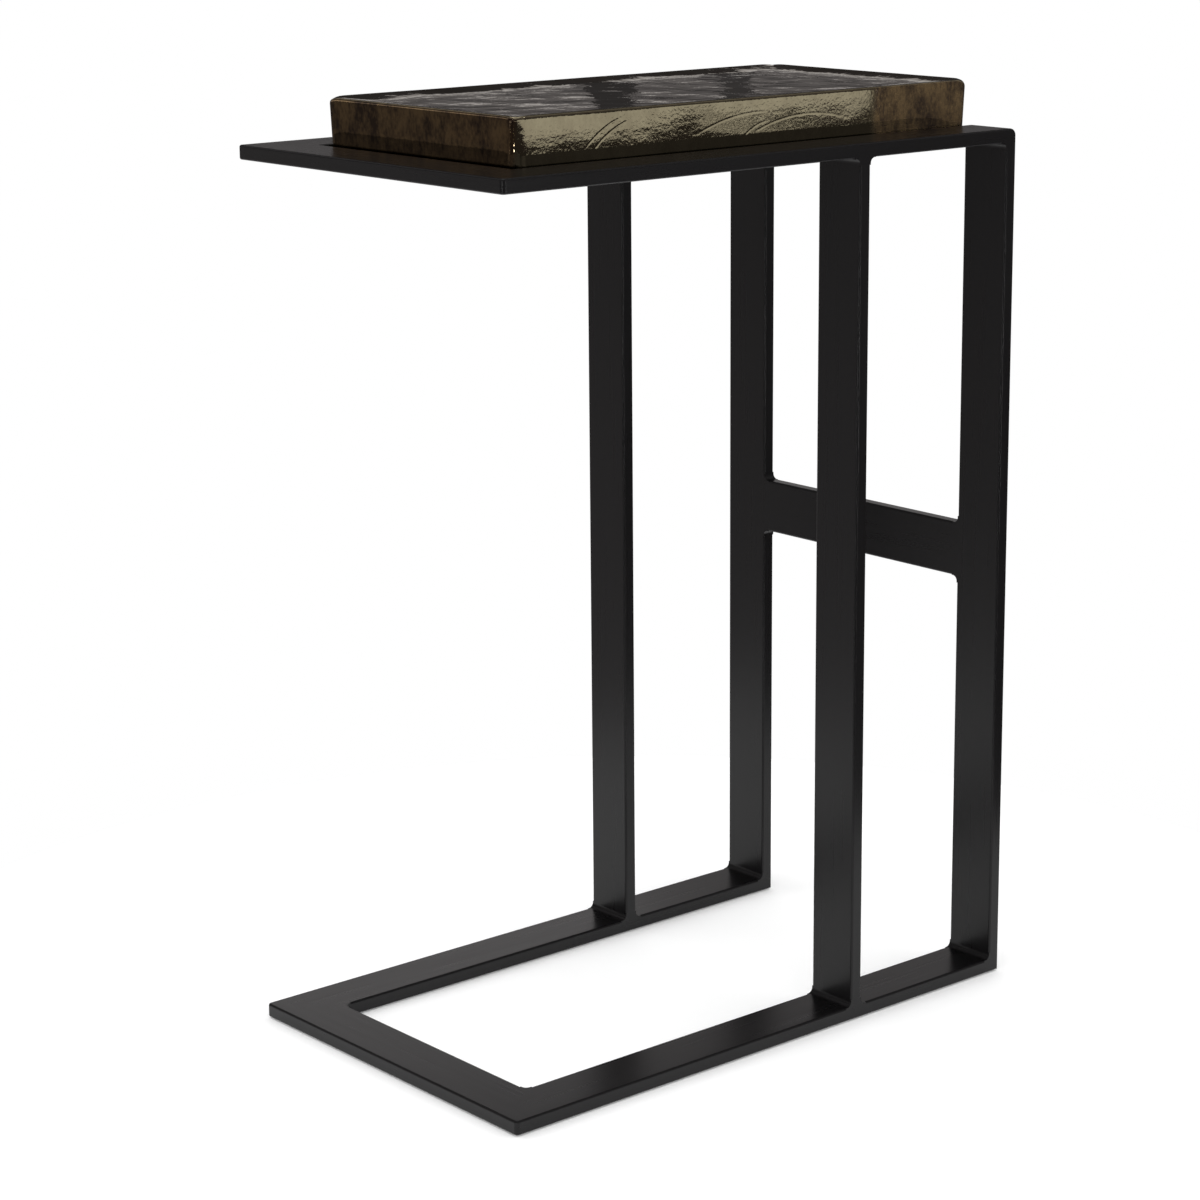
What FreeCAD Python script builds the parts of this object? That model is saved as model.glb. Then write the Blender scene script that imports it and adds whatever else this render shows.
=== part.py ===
import FreeCAD, Part
import math
import os
import Sketcher
from FreeCAD import Placement, Rotation, Vector

# C shaped side table: a welded frame of flat steel bar that carries a loose slab of cast glass.
# Millimetres, +Z up, +X to the table's right, -Y towards the open end of the C.
# The origin lies on the floor, under the middle of the frame.

# Driving dimensions
SIZES = {
    "frame_width": (286, "outside width across the two side rails"),
    "frame_depth": (462, "outside depth, open end to rear"),
    "frame_height": (627, "floor to the upper face of the top frame"),
    "bar_width": (40, "width of the flat bar"),
    "bar_thickness": (10, "thickness of the flat bar"),
    "arris_radius": (1.5, "rounding along the long edges of the bar"),
    "corner_radius": (3, "rounding of the front corners in plan"),
    "end_round": (5, "rounding of the upper rear ends of the top rails"),
    "upright_gap": (134.5, "clear gap between a front and a rear upright"),
    "crossbar_level": (318, "floor to the middle of the crossbar"),
    "weld_leg": (4, "hollow radius of the weld inside a corner"),
    "weld_lap": (1, "length that a weld laps onto each bar past its hollow"),
    "pad_thickness": (1, "thickness of a floor pad"),
    "pad_width": (25, "side of a square floor pad"),
    "sheet_thickness": (3, "thickness of the sheet under the slab"),
    "bumper_thickness": (1, "thickness of a bumper between sheet and slab"),
    "bumper_width": (12, "side of a square bumper"),
    "bumper_inset": (24, "slab side to the middle of a bumper"),
    "slab_thickness": (37, "full thickness of the glass slab"),
    "slab_side_gap": (2.5, "side rail to the foot of the slab"),
    "slab_front_gap": (4.5, "front bar to the foot of the slab"),
    "slab_rear_gap": (5.5, "rear face of the frame to the foot of the slab"),
    "slab_draft": (1.1, "how far each side leans out over the slab's thickness"),
    "slab_corner_radius": (8, "rounding of the slab's upright edges"),
    "slab_edge_radius": (1.5, "rounding around the slab's upper face"),
    "slab_foot_radius": (1, "rounding around the slab's under face"),
}

doc = FreeCAD.newDocument("side_table")
sheet = doc.addObject("Spreadsheet::Sheet", "Sizes")
for row, (alias, (number, meaning)) in enumerate(SIZES.items(), start=1):
    sheet.set(f"A{row}", meaning)
    sheet.set(f"B{row}", str(number))
    sheet.setAlias(f"B{row}", alias)
doc.recompute()

# Derived places, as expressions on the sheet
WIDTH = "Sizes.frame_width"
DEPTH = "Sizes.frame_depth"
BAR = "Sizes.bar_width"
THICK = "Sizes.bar_thickness"
ARRIS = "Sizes.arris_radius"
LEG = "Sizes.weld_leg"
BURIED = "(-2 * Sizes.arris_radius)"
TOE = "(Sizes.weld_leg + Sizes.weld_lap)"
BASE_TOP = "(Sizes.pad_thickness + Sizes.bar_thickness)"
TOP_UNDERSIDE = "(Sizes.frame_height - Sizes.bar_thickness)"
UPRIGHT_LENGTH = f"({TOP_UNDERSIDE} - {BASE_TOP})"
RAIL_X = f"({WIDTH} / 2 - {BAR} / 2)"
REAR_Y = f"({DEPTH} / 2 - {THICK} / 2)"
FRONT_Y = f"({REAR_Y} - Sizes.upright_gap - {THICK})"
INSIDE_WIDTH = f"({WIDTH} - 2 * {BAR})"
MITRE_REACH = f"(2 * {BAR})"
SHEET_BOTTOM = f"({TOP_UNDERSIDE} + {ARRIS})"
SHEET_TOP = f"({SHEET_BOTTOM} + Sizes.sheet_thickness)"
REAR_BAR_HEIGHT = f"({SHEET_TOP} - {TOP_UNDERSIDE})"
SLAB_BOTTOM = f"({SHEET_TOP} + Sizes.bumper_thickness)"
SLAB_LEFT = f"(-{INSIDE_WIDTH} / 2 + Sizes.slab_side_gap)"
SLAB_RIGHT = f"({INSIDE_WIDTH} / 2 - Sizes.slab_side_gap)"
SLAB_FRONT = f"(-{DEPTH} / 2 + {BAR} + Sizes.slab_front_gap)"
SLAB_REAR = f"({DEPTH} / 2 - Sizes.slab_rear_gap)"

SIDES = {"left": -1, "right": 1}
CLOSE = 1e-4

sub_parts = []


def new_body(label):
    body = doc.addObject("PartDesign::Body", label + "_body")
    body.Label = label
    return body


def place(thing, x="0", y="0", z="0", turn=None):
    """Set a thing's turn, and bind its position to expressions."""
    if turn:
        thing.Placement = Placement(Vector(), turn)
    for axis, expression in zip("xyz", (x, y, z)):
        thing.setExpression(f"Placement.Base.{axis}", expression)


def keep(thing):
    sub_parts.append(thing)
    return thing


def draw_outline(body, plane_role, corners, name):
    """Sketch a closed outline whose corners are pairs of expressions, on one of the body's own planes.

    The corners start on a circle, and their constraints carry them to their places.
    """
    sketch = body.newObject("Sketcher::SketchObject", f"{body.Name}_{name}")
    plane = next(item for item in body.Origin.OriginFeatures if item.Role == plane_role)
    sketch.AttachmentSupport = [(plane, "")]
    sketch.MapMode = "FlatFace"
    count = len(corners)
    angles = [2 * math.pi * index / count for index in range(count)]
    start = [Vector(math.cos(angle), math.sin(angle), 0) for angle in angles]
    for index in range(count):
        sketch.addGeometry(Part.LineSegment(start[index], start[(index + 1) % count]))
    for index in range(count):
        sketch.addConstraint(Sketcher.Constraint("Coincident", index, 2, (index + 1) % count, 1))
    for index, expressions in enumerate(corners):
        for kind, expression, number in zip(("DistanceX", "DistanceY"), expressions, start[index]):
            constraint = sketch.addConstraint(Sketcher.Constraint(kind, -1, 1, index, 1, number))
            sketch.renameConstraint(constraint, f"{kind}_{index}")
            sketch.setExpression(f"Constraints.{kind}_{index}", expression)
    return sketch


def rectangle(left, front, right, rear):
    return [(left, front), (right, front), (right, rear), (left, rear)]


def pad(body, sketch, length, symmetric=False):
    feature = body.newObject("PartDesign::Pad", f"{body.Name}_pad")
    feature.Profile = sketch
    feature.SideType = "Symmetric" if symmetric else "One side"
    feature.setExpression("Length", length)
    doc.recompute()
    return feature


def round_edges(body, wanted, radius):
    """Fillet the edges of the body's last feature that the test 'wanted' accepts."""
    base = body.Tip
    names = [f"Edge{index}" for index, edge in enumerate(base.Shape.Edges, start=1) if wanted(edge)]
    fillet = body.newObject("PartDesign::Fillet", f"{body.Name}_fillet")
    fillet.Base = (base, names)
    fillet.setExpression("Radius", radius)
    doc.recompute()
    return fillet


def runs_along(edge, axis):
    """True for a straight edge parallel to the axis 'x', 'y' or 'z'."""
    if not isinstance(edge.Curve, Part.Line):
        return False
    direction = edge.Curve.Direction
    return abs(abs(getattr(direction, axis)) - 1) < CLOSE


def middle(edge):
    return edge.valueAt((edge.FirstParameter + edge.LastParameter) / 2)


def cut_through(body, corners, name):
    """Cut an outline right through the body, and make sure that it met metal."""
    before = body.Tip.Shape.Volume
    sketch = draw_outline(body, "XY_Plane", corners, name)
    feature = body.newObject("PartDesign::Pocket", f"{body.Name}_{name}_cut")
    feature.Profile = sketch
    feature.Type = "ThroughAll"
    feature.SideType = "Symmetric"
    doc.recompute()
    if feature.Shape.Volume > before - CLOSE:
        raise RuntimeError(f"{feature.Name} cut nothing")
    return feature


def mitre_triangle(corner, inwards, removes_front):
    """The triangle on one side of the 45 degree line that starts at an outer front corner."""
    outside = f"{corner} - {inwards} * {MITRE_REACH}"
    inside = f"{corner} + {inwards} * {MITRE_REACH}"
    third = (inside, f"-{MITRE_REACH}") if removes_front else (outside, MITRE_REACH)
    return [(outside, f"-{MITRE_REACH}"), (inside, MITRE_REACH), third]


# Side rails: flat bar laid on its wide face, outer front corner rounded, front end mitred.
def make_rail(label, side, level, rear_end_is_round):
    body = new_body(label)
    outer = f"{side} * {BAR} / 2"
    inner = f"-{side} * {BAR} / 2"
    pad(body, draw_outline(body, "XY_Plane", rectangle(inner, "0", outer, DEPTH), "plan"), THICK)
    depth = body.Tip.Shape.BoundBox.YMax
    top = body.Tip.Shape.BoundBox.ZMax

    def is_front_corner(edge):
        point = middle(edge)
        return runs_along(edge, "z") and point.y < CLOSE and point.x * side > 0

    def is_top_rear(edge):
        point = middle(edge)
        return runs_along(edge, "x") and point.y > depth - CLOSE and point.z > top - CLOSE

    def is_arris(edge):
        return runs_along(edge, "y") or (runs_along(edge, "z") and middle(edge).y > depth - CLOSE)

    round_edges(body, is_front_corner, "Sizes.corner_radius")
    if rear_end_is_round:
        round_edges(body, is_top_rear, "Sizes.end_round")
    round_edges(body, is_arris, ARRIS)
    cut_through(body, mitre_triangle(outer, -side, removes_front=True), "mitre")
    place(body, f"{side} * {RAIL_X}", f"-{DEPTH} / 2", level)
    return keep(body)


# Front bars: the same bar across the front, mitred at both ends.
def make_front_bar(label, level):
    body = new_body(label)
    left = f"-{WIDTH} / 2"
    right = f"{WIDTH} / 2"
    pad(body, draw_outline(body, "XY_Plane", rectangle(left, "0", right, BAR), "plan"), THICK)

    def is_front_corner(edge):
        return runs_along(edge, "z") and middle(edge).y < CLOSE

    round_edges(body, is_front_corner, "Sizes.corner_radius")
    round_edges(body, lambda edge: runs_along(edge, "x"), ARRIS)
    cut_through(body, mitre_triangle(left, 1, removes_front=False), "mitre_left")
    cut_through(body, mitre_triangle(right, -1, removes_front=False), "mitre_right")
    place(body, "0", f"-{DEPTH} / 2", level)
    return keep(body)


# Straight bars with square ends: the uprights, the crossbar and the low rear bar.
def make_straight_bar(label, across, through, length):
    """A bar along its own z axis, centred on it, with its four long edges rounded."""
    body = new_body(label)
    half_x = f"{across} / 2"
    half_y = f"{through} / 2"
    outline = rectangle(f"-{half_x}", f"-{half_y}", half_x, half_y)
    pad(body, draw_outline(body, "XY_Plane", outline, "section"), length)
    round_edges(body, lambda edge: runs_along(edge, "z"), ARRIS)
    return keep(body)


rails = {}
front_bars = {}
for tier, level, is_round in (("base", "Sizes.pad_thickness", False), ("top", TOP_UNDERSIDE, True)):
    front_bars[tier] = make_front_bar(f"{tier}_front_bar", level)
    for hand, side in SIDES.items():
        rails[tier, hand] = make_rail(f"{tier}_{hand}_rail", side, level, is_round)

uprights = {}
for row, row_y in (("front", FRONT_Y), ("rear", REAR_Y)):
    for hand, side in SIDES.items():
        upright = make_straight_bar(f"{row}_{hand}_upright", BAR, THICK, UPRIGHT_LENGTH)
        place(upright, f"{side} * {RAIL_X}", row_y, BASE_TOP)
        uprights[row, hand] = upright

# Turn that lays a bar's long axis along +X with its wide face upright
ALONG_X = Rotation(Vector(0, 0, 1), Vector(0, 1, 0), Vector(1, 0, 0), "ZYX")

crossbar = make_straight_bar("rear_crossbar", BAR, THICK, INSIDE_WIDTH)
place(crossbar, f"-{INSIDE_WIDTH} / 2", REAR_Y, "Sizes.crossbar_level", ALONG_X)
# The rear bar is no higher than the support sheet, so that the slab can pass over it.
rear_bar = make_straight_bar("top_rear_bar", REAR_BAR_HEIGHT, THICK, INSIDE_WIDTH)
place(rear_bar, f"-{INSIDE_WIDTH} / 2", REAR_Y, f"{TOP_UNDERSIDE} + {REAR_BAR_HEIGHT} / 2", ALONG_X)


# Welds: each is a block with a hollow corner, trimmed by the two bars that it joins.
def make_weld(label, outline, width, bars, position, turn=None, rear_is_flush=False):
    """Build a weld from its outline in the body's own YZ plane, as wide as the bars.

    The inner corners of the outline become hollow with the weld's radius. Cutting away the bars leaves
    the weld metal alone: the hollow fillets, and what fills the bars' rounded edges up to the side faces.
    """
    block = new_body(label + "_block")
    pad(block, draw_outline(block, "YZ_Plane", outline, "side"), width, symmetric=True)
    box = block.Tip.Shape.BoundBox

    def is_hollow(edge):
        point = middle(edge)
        inside_y = box.YMin + CLOSE < point.y < box.YMax - CLOSE
        inside_z = box.ZMin + CLOSE < point.z < box.ZMax - CLOSE
        return runs_along(edge, "x") and inside_y and inside_z

    def is_rear_corner(edge):
        return runs_along(edge, "z") and middle(edge).y > box.YMax - CLOSE

    round_edges(block, is_hollow, LEG)
    if rear_is_flush:
        round_edges(block, is_rear_corner, ARRIS)
    place(block, *position, turn)
    rest = block
    for bar in bars:
        trimmed = doc.addObject("Part::Cut", label + "_trimmed")
        trimmed.Base = rest
        trimmed.Tool = bar
        rest = trimmed
    rest.Label = label
    doc.recompute()
    return keep(rest)


def tee_outline(half_stem):
    """A bar standing on another one: a foot on both sides of the stem."""
    toe = f"({half_stem} + {TOE})"
    right = [(toe, BURIED), (toe, "0"), (half_stem, "0"), (half_stem, TOE)]
    left = [(f"-{y}", z) for y, z in reversed(right)]
    return right + left


def corner_outline(half_stem):
    """A bar standing on the end of another one: a foot in front of the stem only."""
    toe = f"({half_stem} + {TOE})"
    front = [(f"-{half_stem}", TOE), (f"-{half_stem}", "0"), (f"-{toe}", "0"), (f"-{toe}", BURIED)]
    return front + [(half_stem, BURIED), (half_stem, TOE)]


def inside_outline():
    """Two bars meeting at a mitre: metal in the inside corner only."""
    return [(BURIED, BURIED), (TOE, BURIED), (TOE, "0"), ("0", "0"), ("0", TOE), (BURIED, TOE)]


HALF_THICK = f"({THICK} / 2)"
HALF_BAR = f"({BAR} / 2)"
UPSIDE_DOWN = Rotation(Vector(0, 1, 0), 180)
ENDS = {"foot": ("base", BASE_TOP, None), "head": ("top", TOP_UNDERSIDE, UPSIDE_DOWN)}

for (row, hand), upright in uprights.items():
    is_rear = row == "rear"
    outline = corner_outline(HALF_THICK) if is_rear else tee_outline(HALF_THICK)
    row_y = REAR_Y if is_rear else FRONT_Y
    for end, (tier, level, turn) in ENDS.items():
        position = (f"{SIDES[hand]} * {RAIL_X}", row_y, level)
        bars = (rails[tier, hand], upright)
        make_weld(f"{row}_{hand}_{end}_weld", outline, BAR, bars, position, turn, rear_is_flush=is_rear)

for hand, side in SIDES.items():
    inwards = Vector(-side, 0, 0)
    # The crossbar's ends stand on the inner faces of the rear uprights.
    position = (f"{side} * {INSIDE_WIDTH} / 2", REAR_Y, "Sizes.crossbar_level")
    turn = Rotation(Vector(0, -side, 0), Vector(0, 0, 1), inwards, "ZYX")
    bars = (uprights["rear", hand], crossbar)
    make_weld(f"crossbar_{hand}_weld", tee_outline(HALF_BAR), THICK, bars, position, turn)
    # The inside corner of the base lies level, with the weld as high as the bar is thick.
    position = (f"{side} * {INSIDE_WIDTH} / 2", f"-{DEPTH} / 2 + {BAR}", f"{BASE_TOP} - {HALF_THICK}")
    turn = Rotation(Vector(0, 0, -side), inwards, Vector(0, 1, 0), "ZYX")
    bars = (rails["base", hand], front_bars["base"])
    make_weld(f"base_{hand}_corner_weld", inside_outline(), THICK, bars, position, turn)

# Support sheet: fills the top frame's opening, just above the rounded lower edges of the bars.
support = new_body("slab_support_sheet")
half_inside = f"{INSIDE_WIDTH} / 2"
sheet_front = f"-{DEPTH} / 2 + {BAR}"
sheet_rear = f"{DEPTH} / 2 - {THICK}"
support_plan = rectangle(f"-{half_inside}", sheet_front, half_inside, sheet_rear)
pad(support, draw_outline(support, "XY_Plane", support_plan, "plan"), "Sizes.sheet_thickness")
place(support, z=SHEET_BOTTOM)
keep(support)

# Glass slab: a cast block whose sides lean out a little, rounded on every edge.
slab = new_body("glass_slab")
slab_plan = rectangle(SLAB_LEFT, SLAB_FRONT, SLAB_RIGHT, SLAB_REAR)
slab_pad = pad(slab, draw_outline(slab, "XY_Plane", slab_plan, "plan"), "Sizes.slab_thickness")
slab_pad.setExpression("TaperAngle", "atan(Sizes.slab_draft / Sizes.slab_thickness)")
doc.recompute()
slab_top = slab_pad.Shape.BoundBox.ZMax
round_edges(slab, lambda edge: CLOSE < middle(edge).z < slab_top - CLOSE, "Sizes.slab_corner_radius")
round_edges(slab, lambda edge: middle(edge).z > slab_top - CLOSE, "Sizes.slab_edge_radius")
round_edges(slab, lambda edge: middle(edge).z < CLOSE, "Sizes.slab_foot_radius")
place(slab, z=SLAB_BOTTOM)
keep(slab)


# Square stick-on pieces: bumpers under the slab's corners, and floor pads under the base.
def make_square(label, width, thickness, x, y, z):
    square = doc.addObject("Part::Box", label)
    square.Label = label
    square.setExpression("Length", width)
    square.setExpression("Width", width)
    square.setExpression("Height", thickness)
    place(square, f"{x} - {width} / 2", f"{y} - {width} / 2", z)
    return keep(square)


BUMPER_X = {"left": f"{SLAB_LEFT} + Sizes.bumper_inset", "right": f"{SLAB_RIGHT} - Sizes.bumper_inset"}
BUMPER_Y = {"front": f"{SLAB_FRONT} + Sizes.bumper_inset", "rear": f"{SLAB_REAR} - Sizes.bumper_inset"}
PAD_Y = {"front": f"-{DEPTH} / 2 + {BAR} / 2", "rear": f"{DEPTH} / 2 - {BAR} / 2"}
for row in ("front", "rear"):
    for hand, side in SIDES.items():
        make_square(f"slab_bumper_{row}_{hand}", "Sizes.bumper_width", "Sizes.bumper_thickness",
                    BUMPER_X[hand], BUMPER_Y[row], SHEET_TOP)
        make_square(f"floor_pad_{row}_{hand}", "Sizes.pad_width", "Sizes.pad_thickness",
                    f"{side} * {RAIL_X}", PAD_Y[row], "0")

# Check everything, then write one file for each sub-part.
doc.recompute()
failed = [thing.Label for thing in doc.Objects if {"Invalid", "Error"} & set(thing.State)]
for sub_part in sub_parts:
    shape = sub_part.Shape
    if shape.isNull() or not shape.isValid() or not shape.Solids:
        failed.append(f"{sub_part.Label} (no valid solid)")
if failed:
    raise RuntimeError("failed: " + ", ".join(failed))
os.makedirs("parts", exist_ok=True)
for sub_part in sub_parts:
    shape = sub_part.Shape
    shape.exportStep(f"parts/{sub_part.Label}.step")
    print(f"{sub_part.Label}: {len(shape.Solids)} solids, {shape.Volume:.1f} mm3")
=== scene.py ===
# %% [markdown]
# A C shaped side table. A black frame is welded from flat steel bar, and a thick block of bronze cast glass
# lies in its top. The frame is open at the front, so that the table slides over the seat of a sofa.
# The shapes come from the CAD model, which is loaded here as a fixed frame. Blender adds what CAD can't
# show: the uneven form of the hand-cast glass, the finish of each surface, the studio and the camera.

# %% Load the CAD model and keep its box
import math

import bmesh
import bpy
from mathutils import Matrix, Vector, noise


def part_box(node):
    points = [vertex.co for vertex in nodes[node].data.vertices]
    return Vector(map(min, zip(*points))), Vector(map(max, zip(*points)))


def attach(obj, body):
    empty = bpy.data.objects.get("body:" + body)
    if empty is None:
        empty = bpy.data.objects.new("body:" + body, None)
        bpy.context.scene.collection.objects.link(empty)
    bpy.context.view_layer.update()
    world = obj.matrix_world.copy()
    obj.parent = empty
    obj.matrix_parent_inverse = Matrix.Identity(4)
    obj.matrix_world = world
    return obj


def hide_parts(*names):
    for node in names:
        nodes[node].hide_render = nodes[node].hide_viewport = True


MM = 0.001
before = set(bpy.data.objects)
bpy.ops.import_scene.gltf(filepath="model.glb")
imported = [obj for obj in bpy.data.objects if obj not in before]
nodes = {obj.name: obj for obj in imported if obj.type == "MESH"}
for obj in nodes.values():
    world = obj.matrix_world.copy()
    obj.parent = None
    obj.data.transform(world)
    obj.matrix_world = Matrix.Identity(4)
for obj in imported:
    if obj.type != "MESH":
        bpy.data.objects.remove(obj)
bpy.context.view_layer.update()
scene = bpy.context.scene

# %% [markdown]
# Colours are written as the hex values that a colour picker shows on screen. Blender's shaders work in
# linear light, so one function turns a hex value into the numbers that a socket takes.
# Two more start an empty material and add a shader node with its settings and links, so each material below
# reads as a list of what the surface is made of.


# %% Helpers for materials
def linear(hex_colour):
    channels = [int(hex_colour[i:i + 2], 16) / 255 for i in (1, 3, 5)]
    return [c / 12.92 if c <= 0.04045 else ((c + 0.055) / 1.055) ** 2.4 for c in channels] + [1.0]


def add_node(tree, kind, sockets=None, **settings):
    """Add a shader node. Sockets take values or links, and settings are the node's own options."""
    made = tree.nodes.new(kind)
    for name, value in settings.items():
        setattr(made, name, value)
    for socket, value in (sockets or {}).items():
        if isinstance(value, bpy.types.NodeSocket):
            tree.links.new(value, made.inputs[socket])
        else:
            made.inputs[socket].default_value = value
    return made


def new_material(name):
    material = bpy.data.materials.new(name)
    material.use_nodes = True
    material.node_tree.nodes.clear()
    return material, material.node_tree


print("mid grey #808080 in linear light:", round(linear("#808080")[0], 3))

# %% [markdown]
# The frame is mild steel with a satin black powder coat. The powder is sprayed on dry and baked until it
# flows, which leaves a very slight orange peel and a soft sheen. The bars were rolled and rubbed down along
# their length before coating, so faint streaks still run that way. The streaks need a direction, so the
# same finish is made three times, for bars that lie along X, along Y and upright.

# %% Satin black powder coat
COAT_COLOUR = "#0e0d0e"
COAT_WORN_COLOUR = "#111011"
COAT_ROUGHNESS_LOW, COAT_ROUGHNESS_HIGH = 0.27, 0.30
COAT_SPECULAR = 0.25
ORANGE_PEEL_MM = 1.6
COAT_BUMP, COAT_BUMP_DEPTH = 0.05, 0.2 * MM
# Real rub marks are under a millimetre wide. They are drawn coarser so that they show.
STREAK_WIDTH_MM, STREAK_LENGTH_MM, STREAK_SHARE = 3, 120, 0.3
# Most values of Blender's noise lie between these two.
NOISE_LOW, NOISE_HIGH = 0.3, 0.7


def powder_coat(name, along):
    material, tree = new_material(name)
    place = add_node(tree, "ShaderNodeTexCoord").outputs["Object"]
    stretch = [1 / (STREAK_WIDTH_MM * MM)] * 3
    stretch[along] = 1 / (STREAK_LENGTH_MM * MM)
    stretched = add_node(tree, "ShaderNodeMapping", {"Vector": place, "Scale": stretch})
    streaks = add_node(tree, "ShaderNodeTexNoise",
                       {"Vector": stretched.outputs[0], "Scale": 1.0, "Detail": 3.0}).outputs[0]
    peel = add_node(tree, "ShaderNodeTexNoise",
                    {"Vector": place, "Scale": 1 / (ORANGE_PEEL_MM * MM), "Detail": 2.0}).outputs[0]
    colour = add_node(tree, "ShaderNodeMix",
                      {0: streaks, 6: linear(COAT_COLOUR), 7: linear(COAT_WORN_COLOUR)}, data_type="RGBA")
    gloss = add_node(tree, "ShaderNodeMapRange",
                     {"Value": streaks, "From Min": NOISE_LOW, "From Max": NOISE_HIGH,
                      "To Min": COAT_ROUGHNESS_LOW, "To Max": COAT_ROUGHNESS_HIGH})
    relief = add_node(tree, "ShaderNodeMath",
                      {0: streaks, 1: STREAK_SHARE, 2: peel}, operation="MULTIPLY_ADD")
    bump = add_node(tree, "ShaderNodeBump",
                    {"Height": relief.outputs[0], "Strength": COAT_BUMP, "Distance": COAT_BUMP_DEPTH})
    shader = add_node(tree, "ShaderNodeBsdfPrincipled",
                      {"Base Color": colour.outputs[2], "Roughness": gloss.outputs[0], "IOR": 1.5,
                       "Specular IOR Level": COAT_SPECULAR, "Normal": bump.outputs[0]})
    add_node(tree, "ShaderNodeOutputMaterial", {"Surface": shader.outputs[0]})
    return material


coat_along = [powder_coat("satin_black_powder_coat_" + axis, i) for i, axis in enumerate("xyz")]
print("powder coats:", [material.name for material in coat_along])

# %% [markdown]
# The slab is cast glass with a bronze lustre, a thin film of metal that is fired on. The film is what the
# eye meets: it mirrors the room in olive bronze, a little cloudy. At both ends of the sides it is worn, and
# there the brown and amber of the glass show through. A clear glass shader under a film could be built, but
# the film hides what lies behind it. So the shader is a metal, whose colour is what the film reflects, and
# near the rear a small share of it is the bare body of the glass.

# %% Colours of the bronze lustre
LUSTRE_COLOUR = "#978e75"
DULL_LUSTRE_COLOUR = "#8a816a"
AMBER_COLOUR = "#a88f6b"
BROWN_COLOUR = "#5e5045"
CLOUD_MM = 12
# Real specks in the worn film are finer. They are drawn coarser so that they show.
SPECK_MM, SPECK_SHARE = 2.0, 0.4
# Clouds and specks are drawn out downwards, as where a film has run.
RUN_SCALE = (1, 1, 0.6)
CLOUD_LOW, CLOUD_HIGH = 0.39, 0.61
# Where along Y the film begins to be worn, and the length over which it fades.
WORN_FRONT, WORN_FRONT_FADE = -184 * MM, -2 * MM
WORN_REAR, WORN_REAR_FADE = 128 * MM, 6 * MM
BODY_SHARE = 0.12

slab_low, slab_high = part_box("glass_slab")


def lustre_film(tree, place, on_side):
    """Colour and metallic share: an olive film, worn to clouded amber glass at the ends of the sides."""
    along = add_node(tree, "ShaderNodeSeparateXYZ", {0: place}).outputs["Y"]
    front = add_node(tree, "ShaderNodeMapRange",
                     {"Value": along, "From Min": WORN_FRONT, "From Max": WORN_FRONT + WORN_FRONT_FADE})
    rear = add_node(tree, "ShaderNodeMapRange",
                    {"Value": along, "From Min": WORN_REAR, "From Max": WORN_REAR + WORN_REAR_FADE})
    ends = add_node(tree, "ShaderNodeMath", {0: front.outputs[0], 1: rear.outputs[0]}, operation="MAXIMUM")
    worn = add_node(tree, "ShaderNodeMath", {0: ends.outputs[0], 1: on_side}, operation="MULTIPLY")
    run = add_node(tree, "ShaderNodeMapping", {"Vector": place, "Scale": RUN_SCALE}).outputs[0]
    clouds = add_node(tree, "ShaderNodeTexNoise",
                      {"Vector": run, "Scale": 1 / (CLOUD_MM * MM), "Detail": 5.0})
    specks = add_node(tree, "ShaderNodeTexNoise",
                      {"Vector": run, "Scale": 1 / (SPECK_MM * MM), "Detail": 3.0})
    both = add_node(tree, "ShaderNodeMix", {0: SPECK_SHARE, 2: clouds.outputs[0], 3: specks.outputs[0]})
    cloudy = add_node(tree, "ShaderNodeMapRange",
                      {"Value": both.outputs[0], "From Min": CLOUD_LOW, "From Max": CLOUD_HIGH})
    film = add_node(tree, "ShaderNodeMix",
                    {0: cloudy.outputs[0], 6: linear(DULL_LUSTRE_COLOUR), 7: linear(LUSTRE_COLOUR)},
                    data_type="RGBA")
    amber = add_node(tree, "ShaderNodeMix",
                     {0: cloudy.outputs[0], 6: linear(BROWN_COLOUR), 7: linear(AMBER_COLOUR)},
                     data_type="RGBA")
    colour = add_node(tree, "ShaderNodeMix",
                      {0: worn.outputs[0], 6: film.outputs[2], 7: amber.outputs[2]}, data_type="RGBA")
    bare = add_node(tree, "ShaderNodeMath", {0: rear.outputs[0], 1: on_side}, operation="MULTIPLY")
    metal = add_node(tree, "ShaderNodeMapRange",
                     {"Value": bare.outputs[0], "To Min": 1.0, "To Max": 1 - BODY_SHARE})
    return colour.outputs[2], metal.outputs[0]


print("slab in mm:", [round(side / MM, 1) for side in slab_high - slab_low])

# %% [markdown]
# A mirror shows the smallest slope. The sides are almost true: waves of a tenth of a millimetre, one long
# sag before the middle, drawn-out ripples and fine pits bend and break the edges of what they reflect. The
# strokes of a tool left shallow grooves. All of this is too slight for a mesh, so each kind is one bump.
# The fine ripples of the top are a bump too. It is kept off the sides by the way that the surface faces.

# %% Relief of the cast glass
SIDE_WAVE_MM, SIDE_WAVE_DEPTH_MM = 45, 0.12
SAG_MIDDLE_MM, SAG_REACH_MM, SAG_DEPTH_MM = -42, 52, 0.2
RIPPLE_MM, RIPPLE_DEPTH_MM = 8, 0.025
RIPPLE_TILT, RIPPLE_STRETCH = 0.25, 0.3
# Real pits are under a millimetre wide. They are drawn coarser so that they show.
PIT_MM, PIT_DEPTH_MM = 2.0, 0.014
TOP_RIPPLE_MM, TOP_RIPPLE_DEPTH_MM = 13, 0.32
STROKE_WIDTH_MM, STROKE_DEPTH_MM = 1.3, 0.012
STROKE_START_MM, STROKE_END_MM = 8, 12
# The finish of the top fades in where the upward part of a surface's normal lies between these two.
TOP_FADE_LOW, TOP_FADE_HIGH = 0.1, 0.7
GLASS_ROUGHNESS = 0.025
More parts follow.
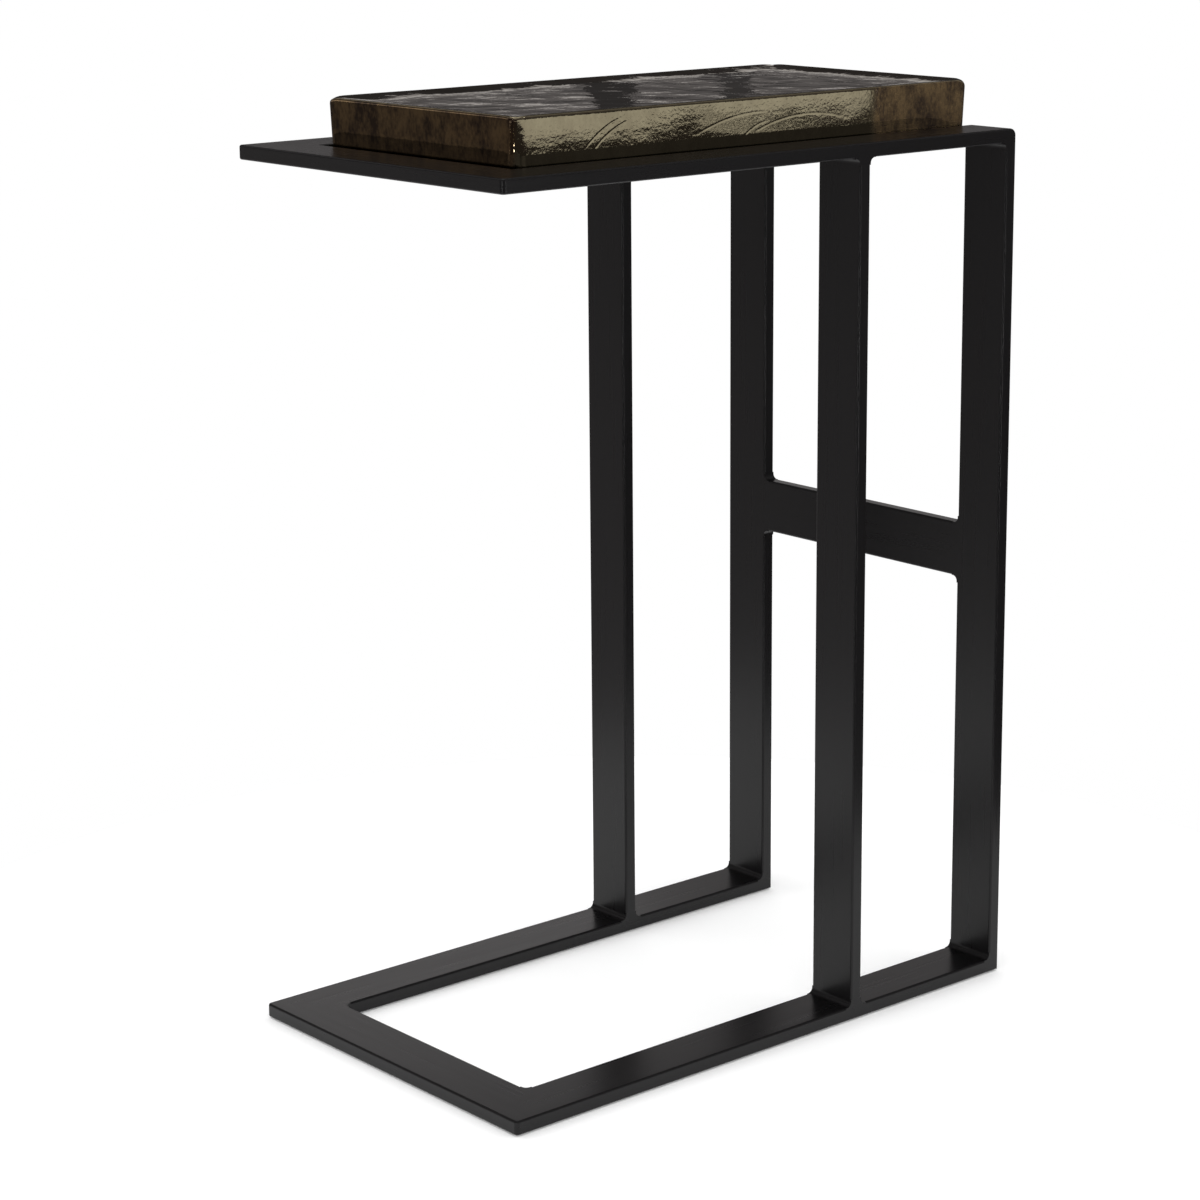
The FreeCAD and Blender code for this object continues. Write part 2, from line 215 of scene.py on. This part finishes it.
# Each tool stroke on the long sides is part of a circle: centre y and z, radius, first and last y, in mm.
STROKES = [(-79, 585, 71, -131, -94), (-76, 588, 65, -125, -90), (36, 600, 43, 1, 33),
           (68, 508, 137, 15, 100), (24, 499, 150, -34, 31)]


def noise_bump(tree, place, size_mm, depth_mm, below, detail=3.0, strength=1.0):
    """Bump of a noise with waves of one size, laid over the bump below."""
    waves = add_node(tree, "ShaderNodeTexNoise",
                     {"Vector": place, "Scale": 1 / (size_mm * MM), "Detail": detail})
    bump = add_node(tree, "ShaderNodeBump",
                    {"Height": waves.outputs[0], "Distance": depth_mm * MM, "Strength": strength,
                     "Normal": below})
    return bump.outputs[0]


def stroke_height(tree, place, stroke):
    """Height of one arc-shaped groove: 1 on its line, 0 beside it and beyond its ends."""
    y, z, radius, first, last = stroke
    scaled = add_node(tree, "ShaderNodeMapping", {"Vector": place, "Location": (0, -y / radius, -z / radius),
                                                  "Scale": (0, 1 / (radius * MM), 1 / (radius * MM))})
    reach = add_node(tree, "ShaderNodeVectorMath", {0: scaled.outputs[0]}, operation="LENGTH")
    side = add_node(tree, "ShaderNodeMath", {0: reach.outputs["Value"], 1: 1.0}, operation="SUBTRACT")
    off = add_node(tree, "ShaderNodeMath", {0: side.outputs[0]}, operation="ABSOLUTE")
    line = add_node(tree, "ShaderNodeMapRange",
                    {"Value": off.outputs[0], "From Max": STROKE_WIDTH_MM / radius,
                     "To Min": 1.0, "To Max": 0.0}, interpolation_type="SMOOTHSTEP")
    along = add_node(tree, "ShaderNodeSeparateXYZ", {0: place}).outputs["Y"]
    begun = add_node(tree, "ShaderNodeMapRange",
                     {"Value": along, "From Min": first * MM, "From Max": (first + STROKE_START_MM) * MM})
    ended = add_node(tree, "ShaderNodeMapRange",
                     {"Value": along, "From Min": last * MM, "From Max": (last - STROKE_END_MM) * MM})
    part = add_node(tree, "ShaderNodeMath", {0: begun.outputs[0], 1: ended.outputs[0]}, operation="MULTIPLY")
    height = add_node(tree, "ShaderNodeMath", {0: line.outputs[0], 1: part.outputs[0]}, operation="MULTIPLY")
    return height.outputs[0]


def glass_relief(tree, place, on_top):
    """All bumps of the slab, each laid over the one before."""
    axes = add_node(tree, "ShaderNodeSeparateXYZ", {0: place}).outputs
    apart = add_node(tree, "ShaderNodeMath", {0: axes["Y"], 1: SAG_MIDDLE_MM * MM}, operation="SUBTRACT")
    gone = add_node(tree, "ShaderNodeMath", {0: apart.outputs[0]}, operation="ABSOLUTE")
    sag = add_node(tree, "ShaderNodeMapRange",
                   {"Value": gone.outputs[0], "From Max": SAG_REACH_MM * MM,
                    "To Min": 1.0, "To Max": 0.0}, interpolation_type="SMOOTHSTEP")
    climb = add_node(tree, "ShaderNodeMapRange",
                     {"Value": axes["Z"], "From Min": slab_low.z, "From Max": slab_high.z})
    swell = add_node(tree, "ShaderNodeMath", {0: sag.outputs[0], 1: climb.outputs[0]}, operation="MULTIPLY")
    normal = add_node(tree, "ShaderNodeBump",
                      {"Height": swell.outputs[0], "Distance": SAG_DEPTH_MM * MM}).outputs[0]
    normal = noise_bump(tree, place, SIDE_WAVE_MM, SIDE_WAVE_DEPTH_MM, normal, detail=1.0)
    drawn = add_node(tree, "ShaderNodeMapping",
                     {"Vector": place, "Rotation": (RIPPLE_TILT, 0, 0), "Scale": (1, RIPPLE_STRETCH, 1)})
    normal = noise_bump(tree, drawn.outputs[0], RIPPLE_MM, RIPPLE_DEPTH_MM, normal)
    normal = noise_bump(tree, place, PIT_MM, PIT_DEPTH_MM, normal)
    normal = noise_bump(tree, place, TOP_RIPPLE_MM, TOP_RIPPLE_DEPTH_MM, normal, strength=on_top)
    for stroke in STROKES:
        groove = add_node(tree, "ShaderNodeBump",
                          {"Height": stroke_height(tree, place, stroke), "Normal": normal,
                           "Distance": STROKE_DEPTH_MM * MM}, invert=True)
        normal = groove.outputs[0]
    return normal


def bronze_lustre_glass():
    material, tree = new_material("bronze_lustre_cast_glass")
    place = add_node(tree, "ShaderNodeTexCoord").outputs["Object"]
    facing = add_node(tree, "ShaderNodeNewGeometry").outputs["Normal"]
    up = add_node(tree, "ShaderNodeSeparateXYZ", {0: facing}).outputs["Z"]
    on_top = add_node(tree, "ShaderNodeMapRange",
                      {"Value": up, "From Min": TOP_FADE_LOW, "From Max": TOP_FADE_HIGH}).outputs[0]
    on_side = add_node(tree, "ShaderNodeMath", {0: 1.0, 1: on_top}, operation="SUBTRACT").outputs[0]
    colour, metal = lustre_film(tree, place, on_side)
    shader = add_node(tree, "ShaderNodeBsdfPrincipled",
                      {"Base Color": colour, "Metallic": metal, "Roughness": GLASS_ROUGHNESS,
                       "Normal": glass_relief(tree, place, on_top)})
    add_node(tree, "ShaderNodeOutputMaterial", {"Surface": shader.outputs[0]})
    return material


glass = bronze_lustre_glass()
print("glass:", glass.name, "tool strokes:", len(STROKES))

# %% [markdown]
# The CAD slab is a true block. The real one was cast by hand: two of its corners are softer than the other
# two, and a raised lip runs round its top, because the cooling glass clung to the mould while the middle
# sank into slow waves. It could be sculpted. Here a fine grid of points over the block is moved by a few
# plain rules instead, so that each form has a size that can be read and changed.

# %% Rules of the cast slab
GRID_MM = 3.0
EDGE_ROWS_MM = [0, 0.25, 0.6, 1.0, 1.5, 2.2, 3.2, 4.6, 6.3, 8.5]
CORNER_RADIUS = 8 * MM
TOP_EDGE_RADIUS = 1.8 * MM
FOOT_EDGE_RADIUS = 1.0 * MM
# Each side leans in by this much from the top to the foot.
LEAN = 1.1 * MM
# The bend makes the lip's slope hollow, and the wander makes its width uneven.
LIP_HEIGHT, LIP_WIDTH, LIP_BEND = 2.8 * MM, 21 * MM, 1.3
LIP_WANDER, LIP_WANDER_SIZE = 0.4, 45 * MM
# The two crisp corners drop by only a share of what the soft ones do.
CORNER_DROP, CORNER_REACH, CRISP_SHARE = 4.5 * MM, 14 * MM, 0.25
# Length and height of the waves in the top.
TOP_WAVES = [(26 * MM, 0.40 * MM), (12 * MM, 0.12 * MM)]

slab_middle = (slab_low + slab_high) / 2
slab_half = (slab_high - slab_low) / 2


def round_edge(inset, depth, radius):
    """Bend the square edge between two faces into an arc; inset and depth are the distances from them."""
    across, along = radius - inset, radius - depth
    if across <= 0 or along <= 0:
        return inset, depth
    pull = max(across, along) / math.hypot(across, along)
    return radius - across * pull, radius - along * pull


def cast_place(point):
    """Where a point on the skin of the block lies on the cast slab."""
    place = point - slab_middle
    to_side = min(slab_half.x - abs(place.x), slab_half.y - abs(place.y))
    core = Vector([math.copysign(min(abs(c), h - CORNER_RADIUS), c) for c, h in zip(place.xy, slab_half.xy)])
    out = place.xy - core
    reach = max(abs(out.x), abs(out.y))
    outward = out.normalized()
    inset, depth = round_edge(CORNER_RADIUS - reach, slab_high.z - point.z, TOP_EDGE_RADIUS)
    inset, height = round_edge(inset, slab_high.z - depth - slab_low.z, FOOT_EDGE_RADIUS)
    plan = core + outward * (CORNER_RADIUS - inset if reach else 0)
    share = height / (2 * slab_half.z)
    width = LIP_WIDTH * (1 + LIP_WANDER * noise.noise(point / LIP_WANDER_SIZE))
    lip = max(0, 1 - to_side / width)
    corner = (slab_half.xy - Vector([abs(c) for c in place.xy])).length
    soft = max(0, 1 - corner / CORNER_REACH) ** 2 * (1 if place.x * place.y > 0 else CRISP_SHARE)
    fall = LIP_HEIGHT * (1 - lip ** LIP_BEND) + CORNER_DROP * soft
    for size, rise in TOP_WAVES:
        fall += rise * noise.noise(point / size) * (1 - lip)
    lean = Vector([1 - LEAN * (1 - share) / h for h in slab_half.xy])
    return slab_middle + Vector((plan.x * lean.x, plan.y * lean.y, height - fall * share - slab_half.z))


print("lip:", LIP_HEIGHT / MM, "mm high, corner drop:", CORNER_DROP / MM, "mm")

# %% [markdown]
# The block's six faces are laid out as grids, with their rows closer together near the edges, where the
# form turns fast. The grids are joined along their borders, and then each point goes to its cast place.

# %% Cast the slab
JOIN_DISTANCE = 0.01 * MM


def grid_rows(low, high):
    """Places along one side of the block: close together at both ends, even steps between."""
    near = [low + row * MM for row in EDGE_ROWS_MM]
    far = [high - row * MM for row in reversed(EDGE_ROWS_MM)]
    steps = round((far[0] - near[-1]) / (GRID_MM * MM))
    return near + [near[-1] + (far[0] - near[-1]) * i / steps for i in range(1, steps)] + far


form = bmesh.new()
rows = [grid_rows(slab_low[axis], slab_high[axis]) for axis in range(3)]
for axis in range(3):
    across, along = [other for other in range(3) if other != axis]
    for level in (rows[axis][0], rows[axis][-1]):
        lines = []
        for a in rows[across]:
            line = []
            for b in rows[along]:
                point = Vector()
                point[axis], point[across], point[along] = level, a, b
                line.append(form.verts.new(point))
            lines.append(line)
        for one, two in zip(lines, lines[1:]):
            for i in range(len(one) - 1):
                form.faces.new((one[i], one[i + 1], two[i + 1], two[i]))
bmesh.ops.remove_doubles(form, verts=form.verts, dist=JOIN_DISTANCE)
bmesh.ops.recalc_face_normals(form, faces=form.faces)
for vertex in form.verts:
    vertex.co = cast_place(vertex.co)
slab_mesh = bpy.data.meshes.new("cast_slab")
form.to_mesh(slab_mesh)
form.free()
slab_mesh.shade_smooth()
slab_mesh.materials.append(glass)
cast_slab = bpy.data.objects.new("cast_slab", slab_mesh)
scene.collection.objects.link(cast_slab)
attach(cast_slab, "root")
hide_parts("glass_slab")
print("cast slab faces:", len(slab_mesh.polygons))

# %% [markdown]
# The base stands on four pads of moulded black rubber, which is matt and finely grained. The slab lies on
# four bumpers of clear cast polyurethane, which looks pale and satin. They hardly show, so one plain recipe
# with a fine grain serves both.

# %% Rubber pads and clear bumpers
GRAIN_BUMP, GRAIN_DEPTH = 0.2, 0.1 * MM


def soft_dot(name, colour, pale_colour, roughness, grain_mm):
    material, tree = new_material(name)
    place = add_node(tree, "ShaderNodeTexCoord").outputs["Object"]
    grain = add_node(tree, "ShaderNodeTexNoise", {"Vector": place, "Scale": 1 / (grain_mm * MM)}).outputs[0]
    tint = add_node(tree, "ShaderNodeMix", {0: grain, 6: linear(colour), 7: linear(pale_colour)},
                    data_type="RGBA")
    bump = add_node(tree, "ShaderNodeBump",
                    {"Height": grain, "Strength": GRAIN_BUMP, "Distance": GRAIN_DEPTH})
    shader = add_node(tree, "ShaderNodeBsdfPrincipled",
                      {"Base Color": tint.outputs[2], "Roughness": roughness, "IOR": 1.5,
                       "Normal": bump.outputs[0]})
    add_node(tree, "ShaderNodeOutputMaterial", {"Surface": shader.outputs[0]})
    return material


rubber = soft_dot("moulded_black_rubber", "#141414", "#1d1d1d", 0.75, 0.8)
bumper = soft_dot("cast_clear_polyurethane", "#c9c9c2", "#d6d6d0", 0.3, 1.5)
print("small parts:", rubber.name, bumper.name)

# %% [markdown]
# Each CAD node now takes its finish. A bar's longest side says which way its streaks run.

# %% Give each node its finish
for name, node in nodes.items():
    if name == "glass_slab":
        finish = glass
    elif name.startswith("floor_pad"):
        finish = rubber
    elif name.startswith("slab_bumper"):
        finish = bumper
    else:
        sides = list(node.dimensions)
        finish = coat_along[sides.index(max(sides))]
    node.data.materials.clear()
    node.data.materials.append(finish)
print("finished nodes:", len(nodes))

# %% [markdown]
# The table stands on a pale floor in front of a white background. The white is the world's own colour for
# the rays that come from the camera, from mirrors and through glass. The rays that only carry light see it
# slightly brighter, and the floor adds a faint glow of its own. So the floor stays white close to the table
# and still takes its shadow.

# %% Floor and white surroundings
FLOOR_RADIUS, FLOOR_CORNERS = 0.6, 96
FLOOR_COLOUR = "#f2f2f2"
AMBIENT = 1.2
FLOOR_LIFT = 0.14


def sees_background(tree):
    """1 for the rays that show the background, 0 for those that only carry light."""
    path = add_node(tree, "ShaderNodeLightPath").outputs
    first = add_node(tree, "ShaderNodeMath",
                     {0: path["Is Camera Ray"], 1: path["Is Glossy Ray"]}, operation="MAXIMUM")
    both = add_node(tree, "ShaderNodeMath",
                    {0: first.outputs[0], 1: path["Is Transmission Ray"]}, operation="MAXIMUM")
    return both.outputs[0]


world = bpy.data.worlds.new("white_studio")
scene.world = world
world.use_nodes = True
world.node_tree.nodes.clear()
shown = sees_background(world.node_tree)
strength = add_node(world.node_tree, "ShaderNodeMapRange", {"Value": shown, "To Min": AMBIENT, "To Max": 1.0})
sky = add_node(world.node_tree, "ShaderNodeBackground",
               {"Color": linear("#ffffff"), "Strength": strength.outputs[0]})
add_node(world.node_tree, "ShaderNodeOutputWorld", {"Surface": sky.outputs[0]})

bpy.ops.mesh.primitive_circle_add(vertices=FLOOR_CORNERS, radius=FLOOR_RADIUS, fill_type="NGON",
                                  location=(0, 0, 0))
floor = bpy.context.object
floor.name = "studio_floor"
paper, paper_tree = new_material("matt_white_paper")
matt = add_node(paper_tree, "ShaderNodeBsdfDiffuse", {"Color": linear(FLOOR_COLOUR)})
lift = add_node(paper_tree, "ShaderNodeMath",
                {0: sees_background(paper_tree), 1: FLOOR_LIFT}, operation="MULTIPLY")
glow = add_node(paper_tree, "ShaderNodeEmission", {"Strength": lift.outputs[0]})
both = add_node(paper_tree, "ShaderNodeAddShader", {0: matt.outputs[0], 1: glow.outputs[0]})
add_node(paper_tree, "ShaderNodeOutputMaterial", {"Surface": both.outputs[0]})
floor.data.materials.append(paper)
print("floor radius:", FLOOR_RADIUS, "m")

# %% [markdown]
# Gloss shows what stands round the table. A photographer hangs grey and black cards out of the picture, so
# that black paint stays black, and white ones where a bright reflection is wanted. Here a dark skirt and
# rings stand round the table and turn pale overhead. Pale panels and strips in front of them show in the
# rippled top, a long white card shows in the right side, and two dark poles break up the pale back.
# The cards are hidden from the camera, and they neither shade nor light the table.

# %% Cards that the gloss sees
CARD_STEP_DEGREES = 5
ALL_ROUND, FRONT, BACK = (0, 360), (270, 345), (195, 265)
# Distances from the middle of the table. A nearer card hides what stands behind it.
RING_AWAY, WALL_AWAY, PANEL_AWAY, WHITE_AWAY, POLE_AWAY, NEAR_AWAY = 3.20, 3.10, 3.05, 3.00, 2.90, 1.20
# Foot heights at both ends, and then the height, of cards of one kind.
LOW_FEET, LOW_HEIGHT = (-1.6, -1.6), 1.75
PANEL_FEET, PANEL_HEIGHT = (1.08, 1.08), 0.60
NEAR_FEET, NEAR_HEIGHT = (0.28, 0.28), 0.34
POLE_FEET, POLE_HEIGHT = (0.2, 0.2), 1.2
WHITE_HEIGHT = 0.095
# Colours at the foot and at the head.
PALE, PALE_LOW, WHITE = ("#c8c4c4", "#9c9898"), ("#bab6b6", "#a09c9c"), ("#f2f2f2", "#f2f2f2")
PALE_PANEL_TURNS = [(15, 80), (88, 118), (144, 192), (268, 298), (324, 372)]


def card(name, turns, feet, height, distance, foot_colour, head_colour):
    """A curved card round the table, between two bearings in degrees, with a foot height at each."""
    steps = max(2, round((turns[1] - turns[0]) / CARD_STEP_DEGREES))
    points = []
    for i in range(steps + 1):
        turn = math.radians(turns[0] + (turns[1] - turns[0]) * i / steps)
        foot = feet[0] + (feet[1] - feet[0]) * i / steps
        for level in (foot, foot + height):
            points.append((distance * math.sin(turn), -distance * math.cos(turn), level))
    faces = [(2 * i, 2 * i + 2, 2 * i + 3, 2 * i + 1) for i in range(steps)]
    mesh = bpy.data.meshes.new(name)
    mesh.from_pydata(points, [], faces)
    made = bpy.data.objects.new(name, mesh)
    scene.collection.objects.link(made)
    material, tree = new_material(name)
    rise = add_node(tree, "ShaderNodeTexCoord").outputs["Generated"]
    level = add_node(tree, "ShaderNodeSeparateXYZ", {0: rise}).outputs["Z"]
    shade = add_node(tree, "ShaderNodeMix", {0: level, 6: linear(foot_colour), 7: linear(head_colour)},
                     data_type="RGBA")
    shine = add_node(tree, "ShaderNodeEmission", {"Color": shade.outputs[2], "Strength": 1.0})
    add_node(tree, "ShaderNodeOutputMaterial", {"Surface": shine.outputs[0]})
    mesh.materials.append(material)
    made.visible_camera = False
    made.visible_diffuse = False
    made.visible_shadow = False
    return made


cards = [card("dark_skirt", ALL_ROUND, LOW_FEET, 1.80, WALL_AWAY, "#3c3838", "#3c3838"),
         card("dark_ring", ALL_ROUND, (0.20, 0.20), 2.2, RING_AWAY, "#403c3c", "#302e2e"),
         card("upper_ring", ALL_ROUND, (2.40, 2.40), 10.0, RING_AWAY, "#302e2e", "#e8e6e4"),
         card("pale_low_front", FRONT, LOW_FEET, LOW_HEIGHT, PANEL_AWAY, *PALE_LOW),
         card("pale_low_left_side", (229, 268), LOW_FEET, LOW_HEIGHT, PANEL_AWAY, *PALE_LOW),
         card("grey_front", FRONT, (0.15, 0.15), 0.19, PANEL_AWAY, "#585452", "#585452"),
         card("pale_front", (285, 330), (0.36, 0.36), 0.27, WALL_AWAY, "#d4d0ce", "#d4d0ce"),
         card("grey_high_front", (285, 340), (0.63, 0.63), 1.0, WALL_AWAY, "#7c7878", "#7c7878"),
         card("grey_right", (135.7, 160), (0.0, 0.0), 1.5, WALL_AWAY, "#605c58", "#605c58"),
         card("grey_high_right", (100, 135.7), (0.5, 0.5), 1.0, WALL_AWAY, "#686464", "#686464"),
         card("grey_back", BACK, (0.74, 0.74), 0.34, PANEL_AWAY, "#302e2e", "#787474"),
         card("pale_back", BACK, PANEL_FEET, 0.30, PANEL_AWAY, *PALE),
         card("grey_panel_right", (118, 144), PANEL_FEET, PANEL_HEIGHT, PANEL_AWAY, "#787474", "#605c5c"),
         card("grey_panel_left", (298, 324), PANEL_FEET, PANEL_HEIGHT, PANEL_AWAY, "#5c5858", "#4c4848"),
         card("high_strip", (-95, 195), (2.0, 2.0), 0.9, PANEL_AWAY, "#a09c9c", "#c8c4c4"),
         card("ceiling_strip", ALL_ROUND, (5.4, 5.4), 1.3, WALL_AWAY, "#f0eeec", "#f0eeec"),
         card("pale_low_right", (200, 229), NEAR_FEET, NEAR_HEIGHT, NEAR_AWAY, "#c8c4c4", "#c8c4c4"),
         card("pale_low_left", (229, 262), NEAR_FEET, NEAR_HEIGHT, NEAR_AWAY, "#fcf8f8", "#fcf8f8"),
         card("dark_pole_1", (229.1, 230.4), POLE_FEET, POLE_HEIGHT, POLE_AWAY, "#343232", "#343232"),
         card("dark_pole_2", (225.4, 226.3), POLE_FEET, POLE_HEIGHT, POLE_AWAY, "#3c3a3a", "#3c3a3a"),
         card("white_card_near", (58, 125), (0.175, 0.190), WHITE_HEIGHT, WHITE_AWAY, *WHITE),
         card("white_card_far", (125, 135.7), (0.190, 0.272), WHITE_HEIGHT, WHITE_AWAY, *WHITE)]
for turns in PALE_PANEL_TURNS:
    cards.append(card(f"pale_panel_{turns[0]}", turns, PANEL_FEET, PANEL_HEIGHT, PANEL_AWAY, *PALE))
print("cards:", [made.name for made in cards])

# %% [markdown]
# A large soft lamp hangs overhead. Two small spots put sparkles on the corner of the glass, and two low
# strips draw short bright lines down it. All are weak, because the white surroundings give most of the light.

# %% Lamps
MIDDLE = Vector((0, 0, 0.32))


def soft_lamp(name, azimuth, elevation, distance, width, height, watts):
    """A rectangular lamp that faces the middle of the table; angles in degrees, lengths in metres."""
    data = bpy.data.lights.new(name, "AREA")
    data.shape = "RECTANGLE"
    data.size = width
    data.size_y = height
    data.energy = watts
    lamp = bpy.data.objects.new(name, data)
    a, e = math.radians(azimuth), math.radians(elevation)
    back = Vector((math.sin(a) * math.cos(e), -math.cos(a) * math.cos(e), math.sin(e)))
    lamp.location = MIDDLE + back * distance
    lamp.rotation_euler = back.to_track_quat("Z", "Y").to_euler()
    lamp.visible_camera = False
    scene.collection.objects.link(lamp)
    return lamp


lamps = [soft_lamp("overhead_softbox", 20, 84, 2.2, 1.8, 1.8, 4),
         soft_lamp("spot_left", 23, 40, 2.6, 0.15, 0.15, 1),
         soft_lamp("spot_right", 117, 40, 2.6, 0.15, 0.15, 1),
         soft_lamp("low_strip_left", 23, -5.8, 3.0, 0.3, 0.16, 6),
         soft_lamp("low_strip_right", 110, -5.8, 3.0, 0.3, 0.16, 6)]
print("lamps:", [(lamp.name, lamp.data.energy) for lamp in lamps])

# %% [markdown]
# The camera stands where the photographer stood: a little above the table top, in front of its right
# corner, with a long lens. The place was found by fitting the CAD model's corners to the photograph.

# %% Camera
CAMERA_PLACE = (1.6438, -1.4270, 0.8410)
CAMERA_AZIMUTH = 48.983
CAMERA_ELEVATION = 13.285
CAMERA_ROLL = -0.297
CAMERA_LENS_MM = 94.415
CAMERA_SHIFT = -0.0333
SENSOR_MM = 36
CLIP_START = 0.05

camera_data = bpy.data.cameras.new("camera")
camera_data.sensor_width = SENSOR_MM
camera_data.lens = CAMERA_LENS_MM
camera_data.shift_x = CAMERA_SHIFT
camera_data.shift_y = CAMERA_SHIFT
camera_data.clip_start = CLIP_START
camera = bpy.data.objects.new("camera", camera_data)
camera.matrix_world = (Matrix.Translation(CAMERA_PLACE)
                       @ Matrix.Rotation(math.radians(CAMERA_AZIMUTH), 4, "Z")
                       @ Matrix.Rotation(math.radians(90 - CAMERA_ELEVATION), 4, "X")
                       @ Matrix.Rotation(math.radians(CAMERA_ROLL), 4, "Z"))
scene.collection.objects.link(camera)
scene.camera = camera
scene.view_settings.view_transform = "Standard"
print("camera:", [round(c, 3) for c in camera.location], "lens", camera_data.lens)
